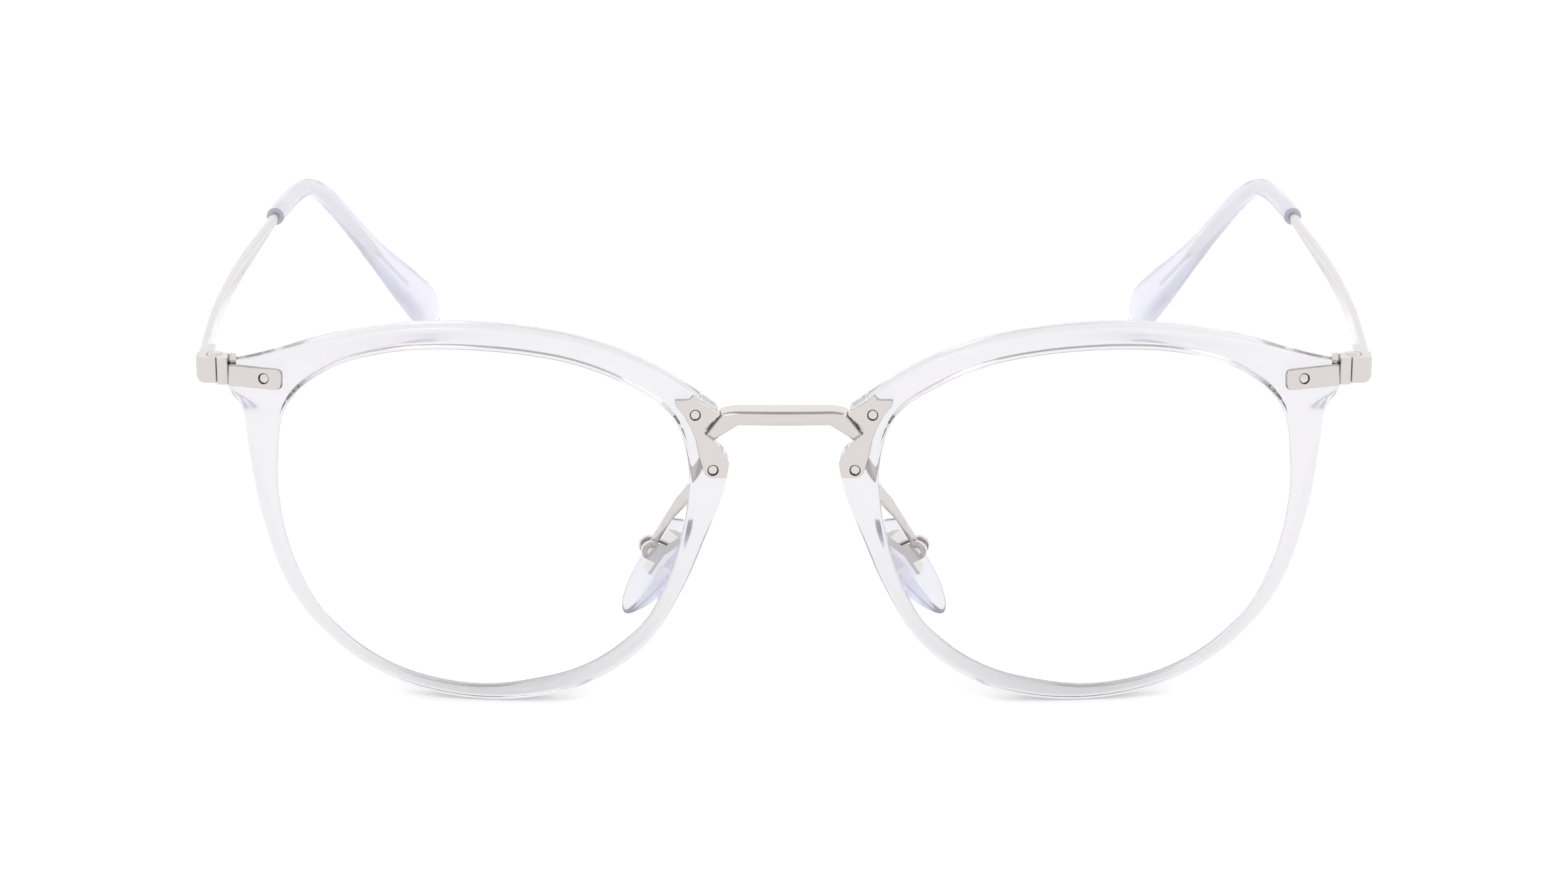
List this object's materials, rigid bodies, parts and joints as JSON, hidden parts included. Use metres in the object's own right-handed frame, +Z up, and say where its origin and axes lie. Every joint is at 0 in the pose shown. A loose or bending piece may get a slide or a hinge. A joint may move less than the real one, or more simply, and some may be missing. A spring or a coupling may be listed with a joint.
{
  "type": "eyeglasses",
  "caption": "Round spectacles: clear plastic rims, riveted metal bridge and end pieces, folding slim metal temples with clear curved tips, rocking nose pads.",
  "frame": {"origin": "on the table under the middle of the bounding box: the glasses stand open on the lower edges of the rims and on the temple tips", "axes": "+X towards the wearer's left, across the face; +Y from the front back towards the ears; +Z up. The front faces -Y."},
  "size_m": [0.143, 0.1506, 0.0472],
  "materials": {
    "clear_plastic": "polished clear acetate with a faint lavender tint",
    "lens_plastic": "polished, colourless",
    "tip_plastic": "polished clear plastic, bluish lavender",
    "pad_plastic": "smooth clear plastic, bluish lavender",
    "satin_metal": "satin silver with polished edges",
    "polished_metal": "polished silver"
  },
  "bodies": {
    "front": {"rim_right": "clear_plastic", "rim_left": "clear_plastic", "lens_right": "lens_plastic", "lens_left": "lens_plastic", "bridge": "satin_metal", "bridge_rivets": "polished_metal", "end_piece_right": "satin_metal", "end_piece_left": "satin_metal", "end_piece_rivets": "polished_metal", "hinge_front_right": "satin_metal", "hinge_front_left": "satin_metal", "hinge_lock_pin_right": "polished_metal", "hinge_lock_pin_left": "polished_metal", "hinge_screw_right": "polished_metal", "hinge_screw_left": "polished_metal", "pad_arm_right": "satin_metal", "pad_arm_left": "satin_metal"},
    "temple_right": {"temple_hinge_right": "satin_metal", "temple_right": "satin_metal", "temple_tip_right": "tip_plastic"},
    "temple_left": {"temple_hinge_left": "satin_metal", "temple_left": "satin_metal", "temple_tip_left": "tip_plastic"},
    "nose_pad_right": {"nose_pad_right": "pad_plastic", "pad_mount_right": "polished_metal", "pad_screw_right": "polished_metal"},
    "nose_pad_left": {"nose_pad_left": "pad_plastic", "pad_mount_left": "polished_metal", "pad_screw_left": "polished_metal"}
  },
  "joints": [
    {"name": "temple_right_fold", "type": "hinge", "parent": "front", "child": "temple_right", "pos_m": [-0.0676, -0.06685, 0.0403], "axis": [0, 0, -1], "range_deg": [0, 82]},
    {"name": "temple_left_fold", "type": "hinge", "parent": "front", "child": "temple_left", "pos_m": [0.0676, -0.06685, 0.0403], "axis": [0, 0, 1], "range_deg": [0, 75]},
    {"name": "nose_pad_right_rock", "type": "hinge", "parent": "front", "child": "nose_pad_right", "pos_m": [-0.0162, -0.06795, 0.018], "axis": [-0.2592, 0.9511, 0.1683], "range_deg": [-12, 12]},
    {"name": "nose_pad_left_rock", "type": "hinge", "parent": "front", "child": "nose_pad_left", "pos_m": [0.0162, -0.06795, 0.018], "axis": [0.2592, 0.9511, 0.1683], "range_deg": [-12, 12]}
  ]
}
